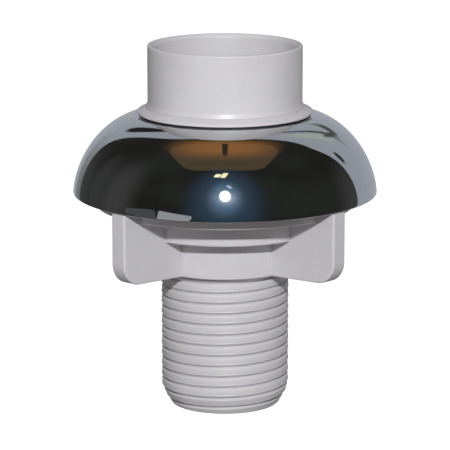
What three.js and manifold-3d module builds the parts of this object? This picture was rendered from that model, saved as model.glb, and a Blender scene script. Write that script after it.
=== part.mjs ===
// Thru hull fitting with a slip socket, a domed escutcheon and a wing nut.
//
// Millimetres, +Z up. The axis of the fitting is the Z axis and the end face of the threaded
// tail lies on Z = 0. Every piece is round about Z, apart from the wings of the nut.

import * as THREE from 'three';
import { mergeVertices } from 'three/addons/utils/BufferGeometryUtils.js';
import Module from 'manifold-3d';

const manifoldLibrary = await Module();
manifoldLibrary.setup();

// ---- driving dimensions -------------------------------------------------------------------

const FACETS = 48;              // facets of a turned piece
const GAP = 0.3;                // clearance between pieces that meet

// the dome stands on the outside of the hull, so its rim is the hull plane
const HULL_Z = 64.2;
const TOTAL_HEIGHT = 108.3;

// threaded tail, 1 1/2 in nominal at 8 threads to the inch, right hand
const THREAD_RADIUS = 19.05;
const THREAD_PITCH = 3.175;
const THREAD_DEPTH = 1.0;
const THREAD_GROOVE_WIDTH = 1.35;
const THREAD_FACETS = 24;
const THREAD_GROOVE_Z = 34.28;  // height of one groove on the -Y side of the tail
const TAIL_CHAMFER_HEIGHT = 4.2;
const TAIL_END_RADIUS = 16.4;
const BORE_RADIUS = 14.75;

// slip socket for a 1 1/4 in pipe of 42.16 mm outside diameter
const SOCKET_BORE_RADIUS = 21.15;
const SOCKET_RADIUS = 22.92;
const SOCKET_DEPTH = 31.75;
const SOCKET_LIP_RADIUS = 21.85;
const SOCKET_LIP_HEIGHT = 1.0;

// retaining flange of the collar
const COLLAR_FLANGE_RADIUS = 25.9;
const COLLAR_FLANGE_Z = 88.3;
const COLLAR_EDGE_HEIGHT = 0.5;
const COLLAR_FOOT_RADIUS = 23.4;
const COLLAR_FOOT_Z = 89.95;
const COLLAR_FILLET_TOP_Z = 91.4;
const SPIGOT_RADIUS = 23.4;

// domed escutcheon, a spun shell whose outer line is a superellipse round DOME_SHOULDER
const DOME_RIM_RADIUS = 45.12;
const DOME_HEIGHT = 23.7;
const DOME_SHOULDER = 22.76;
const DOME_WALL = 1.0;
const DOME_FALL = 0.6;          // how far the dome has dropped from its height over the cup
const DOME_POWER_UP = 1.68;
const DOME_POWER_OUT = 2.07;
const DOME_STEPS = 7;

// hull flange and cup of the body, inside the dome
const HULL_FLANGE_RADIUS = 41.0;
const HULL_FLANGE_Z = 66.5;
const HULL_FLANGE_THICKNESS = 4.0;
const CUP_RADIUS = 27.0;

// seals
const SEAL_WALL = 1.3;
const SEAL_DEPTH = 2.4;
const ORING_SECTION = 1.9;
const ORING_Z = 73.7;
const GASKET_RADIUS = 38.0;
const GASKET_BORE_RADIUS = 19.5;

// wing nut
const NUT_TOP_Z = HULL_Z - GAP;
const NUT_BOTTOM_Z = 42.0;
const NUT_BORE_RADIUS = 19.4;
const NUT_HUB_RADIUS = 21.3;
const NUT_HUB_TOP_Z = 53.3;
const NUT_RING_RADIUS = 28.5;
const NUT_RING_TOP_Z = 60.45;
const NUT_FLANGE_RADIUS = 38.5;
const WING_COUNT = 4;
const WING_THICKNESS = 5.2;
const WING_RADIUS = 45.0;
const WING_CORNER_RADIUS = 6.5;
const WING_RISE = 0.8;          // how far the wing's lower edge rises towards its tip
const WING_TURN_DEGREES = 47.0; // direction of the first wing, from +X

// slip washer let into the top of the nut
const WASHER_RADIUS = 30.0;
const WASHER_BORE_RADIUS = 19.5;
const WASHER_THICKNESS = 1.2;

// ---- helpers ------------------------------------------------------------------------------

/** Turns a closed outline of [radius, height] points round the Z axis. */
function turned(outline) {
  const points = [...outline, outline[0]].map(([radius, height]) => new THREE.Vector2(radius, height));
  return new THREE.LatheGeometry(points, FACETS).rotateX(Math.PI / 2);
}

/** A plain ring of rectangular section. */
function ring(innerRadius, outerRadius, bottom, top) {
  return turned([
    [innerRadius, bottom],
    [outerRadius, bottom],
    [outerRadius, top],
    [innerRadius, top],
  ]);
}

/** A plain round bar on the Z axis, for cutting holes. */
function bar(radius, bottom, top) {
  return new THREE.LatheGeometry([
    new THREE.Vector2(0, bottom),
    new THREE.Vector2(radius, bottom),
    new THREE.Vector2(radius, top),
    new THREE.Vector2(0, top),
  ], FACETS).rotateX(Math.PI / 2);
}

/** Makes a solid that can be joined and cut from a closed geometry. */
function solidOf(geometry) {
  const bare = geometry.clone();
  bare.deleteAttribute('normal');
  bare.deleteAttribute('uv');
  const merged = mergeVertices(bare, 1e-4);
  return new manifoldLibrary.Manifold(new manifoldLibrary.Mesh({
    numProp: 3,
    vertProperties: new Float32Array(merged.attributes.position.array),
    triVerts: new Uint32Array(merged.index.array),
  }));
}

/** Makes a geometry from a solid. */
function geometryOf(solid) {
  const mesh = solid.getMesh();
  const geometry = new THREE.BufferGeometry();
  geometry.setAttribute('position', new THREE.BufferAttribute(new Float32Array(mesh.vertProperties), 3));
  geometry.setIndex(new THREE.BufferAttribute(new Uint32Array(mesh.triVerts), 1));
  geometry.computeVertexNormals();
  return geometry;
}

/** Adds one named piece to a group. */
function addPiece(group, name, geometry, material) {
  const mesh = new THREE.Mesh(geometry, material);
  mesh.name = name;
  group.add(mesh);
  return mesh;
}

// ---- threaded body ------------------------------------------------------------------------

/**
 * A round bar with a right-hand V groove cut along its whole length, both ends ragged.
 *
 * Its skin is one strip wound round the axis. Each turn of the strip has the two edges of the
 * groove and the groove's root, and the last point of a turn is the first point of the next.
 */
function threadedBar(bottom, top) {
  const halfGroove = THREAD_GROOVE_WIDTH / 2;
  const section = [
    [-halfGroove, THREAD_RADIUS],
    [0, THREAD_RADIUS - THREAD_DEPTH],
    [halfGroove, THREAD_RADIUS],
  ];
  const firstTurn = Math.floor((bottom - THREAD_GROOVE_Z) / THREAD_PITCH) - 1;
  const lastTurn = Math.ceil((top - THREAD_GROOVE_Z) / THREAD_PITCH) + 1;
  const rowCount = (lastTurn - firstTurn) * section.length;

  // point of one row at one facet; facet 0 lies on the -Y side
  const positions = [];
  for (let row = 0; row < rowCount; row += 1) {
    const turn = firstTurn + Math.floor(row / section.length);
    const [offset, radius] = section[row % section.length];
    for (let facet = 0; facet < THREAD_FACETS; facet += 1) {
      const part = facet / THREAD_FACETS;
      const angle = 2 * Math.PI * part - Math.PI / 2;
      const height = THREAD_GROOVE_Z + THREAD_PITCH * (turn + part) + offset;
      positions.push(radius * Math.cos(angle), radius * Math.sin(angle), height);
    }
  }

  // after a full turn a row runs on as the row of the next turn
  const indexAt = (row, facet) => (facet < THREAD_FACETS
    ? row * THREAD_FACETS + facet
    : (row + section.length) * THREAD_FACETS + facet - THREAD_FACETS);
  const triangles = [];
  const wound = rowCount - section.length;
  for (let row = 0; row < wound - 1; row += 1) {
    for (let facet = 0; facet < THREAD_FACETS; facet += 1) {
      const low = indexAt(row, facet);
      const lowNext = indexAt(row, facet + 1);
      const high = indexAt(row + 1, facet);
      const highNext = indexAt(row + 1, facet + 1);
      triangles.push(low, lowNext, highNext, low, highNext, high);
    }
  }

  // each end is closed by a fan from the axis to the edge of the strip
  const closeEnd = (row, up) => {
    const edge = [];
    for (let facet = 0; facet <= THREAD_FACETS; facet += 1) {
      edge.push(indexAt(row, facet));
    }
    for (let back = section.length - 1; back > 0; back -= 1) {
      edge.push(indexAt(row + back, 0));
    }
    const centre = positions.length / 3;
    positions.push(0, 0, positions[3 * indexAt(row, 0) + 2] + (up ? THREAD_PITCH : 0));
    edge.forEach((point, place) => {
      const next = edge[(place + 1) % edge.length];
      triangles.push(...(up ? [centre, point, next] : [centre, next, point]));
    });
  };
  closeEnd(0, false);
  closeEnd(wound - 1, true);

  const geometry = new THREE.BufferGeometry();
  geometry.setAttribute('position', new THREE.Float32BufferAttribute(positions, 3));
  geometry.setIndex(triangles);
  return geometry;
}

/** Tail, hull flange and the cup that the collar's spigot is cemented into. */
function threadedBody() {
  const cupBore = SPIGOT_RADIUS + GAP;
  const cupFloor = HULL_FLANGE_Z + HULL_FLANGE_THICKNESS;
  const cupTop = HULL_Z + DOME_HEIGHT - DOME_WALL - DOME_FALL - GAP;
  const sealSeat = HULL_Z + DOME_HEIGHT - SEAL_DEPTH - GAP;
  const rebateRadius = SPIGOT_RADIUS + GAP + SEAL_WALL + GAP;
  const overlap = 1;

  const tailShape = turned([
    [BORE_RADIUS, 0],
    [TAIL_END_RADIUS, 0],
    [THREAD_RADIUS + overlap / 4, TAIL_CHAMFER_HEIGHT],
    [THREAD_RADIUS + overlap / 4, HULL_FLANGE_Z + overlap],
    [BORE_RADIUS, HULL_FLANGE_Z + overlap],
  ]);
  const head = turned([
    [BORE_RADIUS, HULL_FLANGE_Z],
    [HULL_FLANGE_RADIUS, HULL_FLANGE_Z],
    [HULL_FLANGE_RADIUS, cupFloor - overlap],
    [HULL_FLANGE_RADIUS - overlap, cupFloor],
    [CUP_RADIUS, cupFloor],
    [CUP_RADIUS, cupTop],
    [rebateRadius, cupTop],
    [rebateRadius, sealSeat],
    [cupBore, sealSeat],
    [cupBore, cupFloor],
    [BORE_RADIUS, cupFloor],
  ]);
  const tail = solidOf(threadedBar(0, HULL_FLANGE_Z + overlap)).intersect(solidOf(tailShape));
  return geometryOf(tail.add(solidOf(head)));
}

// ---- collar -------------------------------------------------------------------------------

/** Slip socket with the flange that holds the dome, and the spigot below it. */
function socketCollar() {
  const spigotEnd = HULL_FLANGE_Z + HULL_FLANGE_THICKNESS + GAP;
  const pipeStop = TOTAL_HEIGHT - SOCKET_DEPTH;
  const grooveHalf = ORING_SECTION / 2 + GAP;
  const grooveRadius = SPIGOT_RADIUS - ORING_SECTION - GAP;
  const fillet = [];
  const filletSteps = 4;
  for (let step = 1; step <= filletSteps; step += 1) {
    const angle = (step / filletSteps) * (Math.PI / 2);
    fillet.push([
      SOCKET_RADIUS + (COLLAR_FOOT_RADIUS - SOCKET_RADIUS) * (1 - Math.sin(angle)),
      COLLAR_FOOT_Z + (COLLAR_FILLET_TOP_Z - COLLAR_FOOT_Z) * (1 - Math.cos(angle)),
    ]);
  }
  return turned([
    [BORE_RADIUS, spigotEnd],
    [SPIGOT_RADIUS - GAP, spigotEnd],
    [SPIGOT_RADIUS, spigotEnd + 2 * GAP],
    [SPIGOT_RADIUS, ORING_Z - grooveHalf],
    [grooveRadius, ORING_Z - grooveHalf],
    [grooveRadius, ORING_Z + grooveHalf],
    [SPIGOT_RADIUS, ORING_Z + grooveHalf],
    [SPIGOT_RADIUS, COLLAR_FLANGE_Z],
    [COLLAR_FLANGE_RADIUS, COLLAR_FLANGE_Z],
    [COLLAR_FLANGE_RADIUS, COLLAR_FLANGE_Z + COLLAR_EDGE_HEIGHT],
    [COLLAR_FOOT_RADIUS, COLLAR_FOOT_Z],
    ...fillet,
    [SOCKET_RADIUS, TOTAL_HEIGHT],
    [SOCKET_LIP_RADIUS, TOTAL_HEIGHT],
    [SOCKET_BORE_RADIUS, TOTAL_HEIGHT - SOCKET_LIP_HEIGHT],
    [SOCKET_BORE_RADIUS, pipeStop],
    [BORE_RADIUS, pipeStop],
  ]);
}

// ---- dome ---------------------------------------------------------------------------------

/** Points of a superellipse from the rim of the dome up to the edge of its hole. */
function domeLine(reach, rise, holeRadius) {
  const line = [];
  const lastAngle = Math.acos(((holeRadius - DOME_SHOULDER) / reach) ** (DOME_POWER_OUT / 2));
  for (let step = 0; step <= DOME_STEPS; step += 1) {
    const angle = (step / DOME_STEPS) * lastAngle;
    line.push([
      DOME_SHOULDER + reach * Math.cos(angle) ** (2 / DOME_POWER_OUT),
      HULL_Z + rise * Math.sin(angle) ** (2 / DOME_POWER_UP),
    ]);
  }
  return line;
}

/** Thin shell, open below, with a hole for the collar in its top. */
function domeEscutcheon() {
  const reach = DOME_RIM_RADIUS - DOME_SHOULDER;
  const holeRadius = SPIGOT_RADIUS + GAP + SEAL_WALL + GAP;
  const outside = domeLine(reach, DOME_HEIGHT, holeRadius);
  const inside = domeLine(reach - DOME_WALL, DOME_HEIGHT - DOME_WALL, holeRadius);
  return turned([...outside, ...inside.reverse()]);
}

// ---- seals --------------------------------------------------------------------------------

/** Ring that fills the hole of the dome under the collar's flange. */
function collarSeal() {
  const inner = SPIGOT_RADIUS + GAP;
  return ring(inner, inner + SEAL_WALL, HULL_Z + DOME_HEIGHT - SEAL_DEPTH, COLLAR_FLANGE_Z - GAP);
}

/** O-ring in the groove of the spigot, a six-sided section. */
function spigotRing() {
  const sides = 6;
  const radius = ORING_SECTION / 2;
  const middle = SPIGOT_RADIUS - radius;
  const section = [];
  for (let side = 0; side < sides; side += 1) {
    const angle = (2 * Math.PI * side) / sides;
    section.push([middle + radius * Math.cos(angle), ORING_Z + radius * Math.sin(angle)]);
  }
  return turned(section);
}

// ---- wing nut -----------------------------------------------------------------------------

/** One flat wing along +X, with its lower outer corner rounded. */
function wing() {
  const outline = new THREE.Shape();
  const cornerZ = NUT_BOTTOM_Z + WING_RISE + WING_CORNER_RADIUS;
  outline.moveTo(NUT_BORE_RADIUS + 1, NUT_BOTTOM_Z);
  outline.lineTo(NUT_HUB_RADIUS, NUT_BOTTOM_Z);
  outline.absarc(WING_RADIUS - WING_CORNER_RADIUS, cornerZ, WING_CORNER_RADIUS, -Math.PI / 2, 0);
  outline.lineTo(WING_RADIUS, NUT_TOP_Z);
  outline.lineTo(NUT_BORE_RADIUS + 1, NUT_TOP_Z);
  const plate = new THREE.ExtrudeGeometry(outline, {
    depth: WING_THICKNESS,
    bevelEnabled: false,
    curveSegments: 8,
  });
  return plate.translate(0, 0, -WING_THICKNESS / 2).rotateX(Math.PI / 2);
}

/** Stepped hub, clamping flange and wings. The first wing points along +X. */
function wingNut() {
  const recessRadius = WASHER_RADIUS + GAP;
  const recessFloor = NUT_TOP_Z - WASHER_THICKNESS - GAP;
  let nut = solidOf(turned([
    [NUT_BORE_RADIUS, NUT_BOTTOM_Z],
    [NUT_HUB_RADIUS, NUT_BOTTOM_Z],
    [NUT_HUB_RADIUS, NUT_HUB_TOP_Z],
    [NUT_RING_RADIUS, NUT_HUB_TOP_Z],
    [NUT_RING_RADIUS, NUT_RING_TOP_Z],
    [NUT_FLANGE_RADIUS, NUT_RING_TOP_Z],
    [NUT_FLANGE_RADIUS, NUT_TOP_Z],
    [NUT_BORE_RADIUS, NUT_TOP_Z],
  ]));
  for (let count = 0; count < WING_COUNT; count += 1) {
    nut = nut.add(solidOf(wing().rotateZ((2 * Math.PI * count) / WING_COUNT)));
  }
  nut = nut.subtract(solidOf(bar(NUT_BORE_RADIUS, NUT_BOTTOM_Z - 1, NUT_TOP_Z + 1)));
  nut = nut.subtract(solidOf(bar(recessRadius, recessFloor, NUT_TOP_Z + 1)));
  return geometryOf(nut);
}

// ---- assembly -----------------------------------------------------------------------------

/** A plain surface finish. */
function finish(color, roughness, metalness = 0) {
  return new THREE.MeshStandardMaterial({ color, roughness, metalness });
}

const whitePlastic = () => finish(0xd6d5da, 0.38);
const washerPlastic = () => finish(0xe4e1d6, 0.5);
const polishedChrome = () => finish(0xc9ccd0, 0.06, 1);
const sealRubber = () => finish(0x1d1d1f, 0.75);

const fitting = new THREE.Group();

addPiece(fitting, 'threaded_body', threadedBody(), whitePlastic());
addPiece(fitting, 'socket_collar', socketCollar(), whitePlastic());
addPiece(fitting, 'spigot_o_ring', spigotRing(), sealRubber());
addPiece(fitting, 'collar_seal', collarSeal(), sealRubber());
addPiece(fitting, 'dome_escutcheon', domeEscutcheon(), polishedChrome());
addPiece(
  fitting,
  'hull_gasket',
  ring(GASKET_BORE_RADIUS, GASKET_RADIUS, HULL_Z, HULL_FLANGE_Z - GAP),
  sealRubber(),
);

// the nut and its washer travel down the tail together
const nutGroup = new THREE.Group();
addPiece(
  nutGroup,
  'slip_washer',
  ring(WASHER_BORE_RADIUS, WASHER_RADIUS, NUT_TOP_Z - WASHER_THICKNESS, NUT_TOP_Z),
  washerPlastic(),
);
const nut = addPiece(nutGroup, 'wing_nut', wingNut(), whitePlastic());
nut.rotation.z = THREE.MathUtils.degToRad(WING_TURN_DEGREES);
fitting.add(nutGroup);

export default fitting;
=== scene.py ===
"""White thru hull fitting: threaded tail, wing nut, polished dome and slip socket.

Each piece is a surface worked out with numpy as whole arrays and then made a mesh. Sizes are in metres and +Z is up.
The axis of the fitting is the Z axis, the end face of the tail lies on Z = 0, and -Y is the front.
"""

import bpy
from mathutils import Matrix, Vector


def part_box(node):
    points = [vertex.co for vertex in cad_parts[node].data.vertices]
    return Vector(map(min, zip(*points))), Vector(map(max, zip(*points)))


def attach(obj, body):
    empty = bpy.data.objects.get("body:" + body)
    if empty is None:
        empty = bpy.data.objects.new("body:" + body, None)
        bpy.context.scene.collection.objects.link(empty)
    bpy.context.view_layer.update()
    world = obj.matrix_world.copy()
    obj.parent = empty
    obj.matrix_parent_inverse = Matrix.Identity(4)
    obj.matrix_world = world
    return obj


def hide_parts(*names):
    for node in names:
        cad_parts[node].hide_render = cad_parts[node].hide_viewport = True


bl_info = {
    "name": "Thru Hull Fitting",
    "version": (1, 0, 0),
    "blender": (4, 5, 0),
    "location": "View3D > Sidebar > Fitting",
    "description": "Builds a white thru hull fitting with a polished dome and a wing nut",
    "category": "Add Mesh",
}

import bmesh
import bpy
import numpy as np
from bpy.props import FloatProperty, FloatVectorProperty, IntProperty, PointerProperty
from bpy.types import Operator, Panel, PropertyGroup

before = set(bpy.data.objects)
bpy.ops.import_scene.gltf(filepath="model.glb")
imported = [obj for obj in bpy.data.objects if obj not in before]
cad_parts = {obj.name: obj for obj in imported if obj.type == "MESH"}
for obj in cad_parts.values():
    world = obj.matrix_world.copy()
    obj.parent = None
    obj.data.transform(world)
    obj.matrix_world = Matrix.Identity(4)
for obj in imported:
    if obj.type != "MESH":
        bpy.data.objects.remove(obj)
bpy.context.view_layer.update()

MM = 0.001
TURN = 2 * np.pi
ARC_STEPS = 6           # steps in the arc of a rounded edge
EASE = 0.18 * MM        # distance from an arc to the extra ring that keeps the flat beside it flat
MERGE = 1e-7            # points closer than this are one point

DOME_LOW, DOME_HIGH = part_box("dome_escutcheon")
COLLAR_LOW, COLLAR_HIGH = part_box("socket_collar")
_, BODY_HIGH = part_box("threaded_body")
NUT_LOW, NUT_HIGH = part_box("wing_nut")
WASHER_LOW, WASHER_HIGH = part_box("slip_washer")
GASKET_LOW, GASKET_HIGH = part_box("hull_gasket")
SEAL_LOW, SEAL_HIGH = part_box("collar_seal")
RING_LOW, RING_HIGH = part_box("spigot_o_ring")

CUP_BORE = 23.7 * MM            # bore of the body's cup, and of the neck seal over it
SEAL_BORE = 19.5 * MM           # bore of the hull gasket and of the slip washer
RECESS_RADIUS = 30.3 * MM       # recess in the nut's top that holds the slip washer
RECESS_DEPTH = 1.5 * MM
SEAM_DIRECTION = np.radians(-110.5)     # where the mould closed, on one side of the tail
SEAM_WIDTH = 0.7 * MM
SEAL_COLUMNS = 160              # columns of a seal or washer round the axis

LAMP_SIZE = 0.045
LAMP_DISTANCE = 0.9
LAMP_SIDEWAYS = 0.015
LENS_LENGTH = 227.13            # in millimetres, for a sensor 36 mm wide
SENSOR_WIDTH = 36.0
CAMERA_PLACE = (0.0, -0.82705, 0.2345)
CAMERA_PITCH = 0.215            # radians below the horizon
FLOOR_REACH = 3.0
FLOOR_SINK = 0.00005            # how far the floor lies under the end face
FLOOR_CELLS = 8
LEAST_AWAY = 0.02               # least distance that a direction covers towards a panel's plane


# ---- settings ----


def length(name, description, default):
    """A length that a user may change."""
    return FloatProperty(name=name, description=description, default=default, min=0.0, unit="LENGTH", precision=5)


def colour(name, description, default):
    """A colour that a user may change."""
    return FloatVectorProperty(name=name, description=description, default=default, size=3, min=0, max=1,
                               subtype="COLOR")


class TailSettings(PropertyGroup):
    thread_radius: length("Thread radius", "Radius over the ridges of the thread", 19.05 * MM)
    pitch: length("Pitch", "Height of one turn of the thread", 3.175 * MM)
    depth: length("Thread depth", "Depth of the groove between two ridges", 1.0 * MM)
    groove_height: length("Groove height", "Height of one groove at the front of the tail", 33.78 * MM)
    bore_radius: length("Bore radius", "Radius of the bore", 14.75 * MM)
    end_radius: length("End radius", "Radius of the tapered end", 16.1 * MM)
    taper_height: length("Taper height", "Height of the tapered end", 6.3 * MM)
    flange_radius: length("Hull flange radius", "Radius of the flange that bears on the hull", BODY_HIGH.x)
    flange_height: length("Hull flange height", "Height of the underside of that flange", 66.5 * MM)
    columns: IntProperty(name="Columns", description="Columns of the surface round the axis", default=144, min=24)


class CollarSettings(PropertyGroup):
    socket_radius: length("Socket radius", "Outer radius of the slip socket", 22.92 * MM)
    socket_bore: length("Socket bore", "Inner radius of the slip socket", 21.15 * MM)
    socket_depth: length("Socket depth", "Depth from the mouth to the pipe stop", 31.75 * MM)
    flange_radius: length("Flange radius", "Radius of the flange that holds the dome", COLLAR_HIGH.x)
    flange_height: length("Flange height", "Height of the underside of that flange", 88.1 * MM)
    spigot_radius: length("Spigot radius", "Radius of the spigot inside the cup", 23.4 * MM)
    columns: IntProperty(name="Columns", description="Columns of the surface round the axis", default=224, min=24)


class DomeSettings(PropertyGroup):
    rim_radius: length("Rim radius", "Radius of the rim of the dome", DOME_HIGH.x)
    rise: length("Rise", "Height of the dome's curve over its rim", 23.7 * MM)
    shoulder: length("Shoulder", "Radius of the flat that the curve starts from", 22.76 * MM)
    wall: length("Wall", "Thickness of the shell", 1.0 * MM)
    hole_radius: length("Hole radius", "Radius of the hole in the top", 25.3 * MM)
    power_out: FloatProperty(name="Outward power", description="Fullness of the curve outwards", default=2.07)
    power_up: FloatProperty(name="Upward power", description="Fullness of the curve upwards", default=1.68)
    columns: IntProperty(name="Columns", description="Columns of the surface round the axis", default=288, min=24)


class NutSettings(PropertyGroup):
    hub_radius: length("Hub radius", "Radius of the hub", 21.3 * MM)
    ring_radius: length("Ring radius", "Radius of the step ring", 28.5 * MM)
    flange_radius: length("Flange radius", "Radius of the clamping flange", 38.5 * MM)
    bore_radius: length("Bore radius", "Radius of the bore", 19.4 * MM)
    wing_radius: length("Wing radius", "Distance of a wing's tip from the axis", 45.0 * MM)
    wing_thickness: length("Wing thickness", "Thickness of a wing", 5.2 * MM)
    wing_corner: length("Wing corner", "Radius of a wing's lower corner", 6.5 * MM)
    wing_edge: length("Wing edge", "Radius of the rounding along a wing's edges", 0.5 * MM)
    wing_rise: length("Wing rise", "How far a wing's lower edge rises towards its tip", 0.8 * MM)
    wing_turn: FloatProperty(name="Wing turn", description="Direction of the first wing", default=np.radians(47.0),
                             subtype="ANGLE")


class FinishSettings(PropertyGroup):
    white: colour("White", "Colour of the moulded plastic", (0.72, 0.71, 0.735))
    chrome: colour("Chrome", "Colour of the polished chrome", (0.58, 0.59, 0.605))
    rubber: colour("Rubber", "Colour of the seals", (0.018, 0.018, 0.019))
    nylon: colour("Nylon", "Colour of the slip washer", (0.78, 0.76, 0.69))


class StageSettings(PropertyGroup):
    key_power: FloatProperty(name="Key light", description="Power of the key light in watts", default=6.15, min=0)
    ambient: FloatProperty(name="Soft light", description="Strength of the soft light all round", default=0.215,
                           min=0)
    key_height: FloatProperty(name="Key height", description="Angle of the key light over the horizon",
                              default=np.radians(27.2), subtype="ANGLE")


# ---- outlines and meshes ----


def rounded_corners(corners):
    """Arcs at the corners of a closed outline, as an array of (corner, point, 2).

    corners are rows of (radius from the axis, height, rounding). With u and v the directions from a corner to its
    neighbours and h half the angle between them, the arc's centre lies on the bisector at rounding / sin h and the arc
    starts rounding / tan h from the corner. Its points are (sin((1-w)f) a + sin(wf) b) / sin f from the centre, with a
    and b its two ends, f the angle between them and w from 0 to 1. One more point lies just before and after each arc.
    """
    rows = np.asarray(corners, float)
    point, rounding = rows[:, :2], rows[:, 2]
    back, ahead = np.roll(point, 1, 0) - point, np.roll(point, -1, 0) - point
    back_length, ahead_length = np.linalg.norm(back, axis=1), np.linalg.norm(ahead, axis=1)
    u, v = back / back_length[:, None], ahead / ahead_length[:, None]
    half = 0.5 * np.arccos(np.clip((u * v).sum(1), -0.999999, 0.999999))
    room = 0.45 * np.minimum(back_length, ahead_length)
    reach = np.minimum(rounding / np.tan(half), room)
    lead = np.minimum(EASE, 0.3 * room)
    bisector = (u + v) / np.linalg.norm(u + v, axis=1)[:, None]
    centre = point + bisector * (reach * np.tan(half) / np.sin(half))[:, None]
    start, end = point + u * reach[:, None], point + v * reach[:, None]
    sweep = (np.pi - 2 * half)[:, None, None]
    w = np.linspace(0, 1, ARC_STEPS + 1)[None, :, None]
    arc = (np.sin((1 - w) * sweep) * (start - centre)[:, None] + np.sin(w * sweep) * (end - centre)[:, None])
    arc = centre[:, None] + arc / np.sin(sweep)
    first = (start + u * lead[:, None])[:, None]
    last = (end + v * lead[:, None])[:, None]
    return np.concatenate([first, arc, last], axis=1)


def rounded_outline(corners):
    """A closed outline with every corner rounded, as rows of (radius, height)."""
    return rounded_corners(corners).reshape(-1, 2)


def wrapped_quads(rows, columns):
    """The four point numbers of each face of a grid that closes on itself both ways."""
    row, column = np.arange(rows)[:, None], np.arange(columns)[None]
    row_next, column_next = (row + 1) % rows, (column + 1) % columns
    corners = [row * columns + column, row * columns + column_next,
               row_next * columns + column_next, row_next * columns + column]
    return np.stack(corners, -1).reshape(-1, 4)


def edge_marks(mesh):
    """Stores how sharply the surface turns at each point, outwards as "wear" and inwards as "hollow".

    The turn along an edge from point p with normal n to point q with normal m is (m - n).(q - p) / |q - p|^2, which is
    one over the radius of the bend. A point has the strongest of its edges, from 0 at 5 mm to 1 at 0.6 mm.
    """
    count = len(mesh.vertices)
    place, normal = np.empty(count * 3), np.empty(count * 3)
    ends = np.empty(len(mesh.edges) * 2, int)
    mesh.vertices.foreach_get("co", place)
    mesh.vertices.foreach_get("normal", normal)
    mesh.edges.foreach_get("vertices", ends)
    place, normal, ends = place.reshape(-1, 3), normal.reshape(-1, 3), ends.reshape(-1, 2)
    along = place[ends[:, 1]] - place[ends[:, 0]]
    bend = ((normal[ends[:, 1]] - normal[ends[:, 0]]) * along).sum(1) / np.maximum((along**2).sum(1), 1e-12)
    for name, sign in (("wear", 1), ("hollow_shade", -1)):
        strongest = np.zeros(count)
        np.maximum.at(strongest, ends[:, 0], sign * bend)
        np.maximum.at(strongest, ends[:, 1], sign * bend)
        share = np.clip((strongest - 1 / (5 * MM)) * 0.6 * MM, 0, 1)
        mesh.attributes.new(name, "FLOAT", "POINT").data.foreach_set("value", share.astype(np.float32))


def surface_piece(name, points, quads, finish, slot, body, *nodes):
    """Makes a closed surface a piece that rides on a body and stands for some nodes of the frame."""
    low, middle, high = points[quads[:, 0]], points[quads[:, 1]], points[quads[:, 2]]
    if (low * np.cross(middle, high)).sum() + (low * np.cross(high, points[quads[:, 3]])).sum() < 0:
        quads = quads[:, ::-1]
    mesh = bpy.data.meshes.new(name)
    mesh.from_pydata(points.tolist(), [], quads.tolist())
    work = bmesh.new()
    work.from_mesh(mesh)
    bmesh.ops.remove_doubles(work, verts=work.verts, dist=MERGE)
    bmesh.ops.dissolve_degenerate(work, dist=MERGE, edges=work.edges)
    work.to_mesh(mesh)
    work.free()
    mesh.validate()
    mesh.shade_smooth()
    edge_marks(mesh)
    mesh.materials.append(finish)
    piece = bpy.data.objects.new(name, mesh)
    bpy.context.scene.collection.objects.link(piece)
    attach(piece, body)
    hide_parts(*nodes)
    return piece


def turned_grid(outline, columns):
    """Carries a closed outline round the Z axis: (r, z) goes to (r cos t, r sin t, z), with t from 0 to a turn."""
    radius, height = np.asarray(outline).T
    angle = TURN * np.arange(columns) / columns
    return np.stack([radius[:, None] * np.cos(angle), radius[:, None] * np.sin(angle),
                     np.repeat(height[:, None], columns, 1)], -1)


def turned_piece(name, outline, columns, finish, slot, body, *nodes):
    """A turned piece whose outline is closed."""
    grid = turned_grid(outline, columns)
    return surface_piece(name, grid.reshape(-1, 3), wrapped_quads(*grid.shape[:2]), finish, slot, body, *nodes)


# ---- threaded tail ----

# one pitch of the thread, from root to root going up: share of the pitch, share of the depth below the ridge.
# The ridge is nearly flat, with a fine lip along its lower edge where the mould closes.
THREAD_ROWS = np.array([
    (0.000, 1.000), (0.030, 0.990), (0.060, 0.930), (0.270, 0.170), (0.295, 0.065), (0.315, 0.010), (0.335, 0.000),
    (0.360, 0.020), (0.400, 0.080), (0.435, 0.105), (0.520, 0.110), (0.660, 0.115), (0.790, 0.120), (0.850, 0.130),
    (0.890, 0.160), (0.925, 0.260), (0.965, 0.900), (0.983, 0.990),
])


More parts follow.
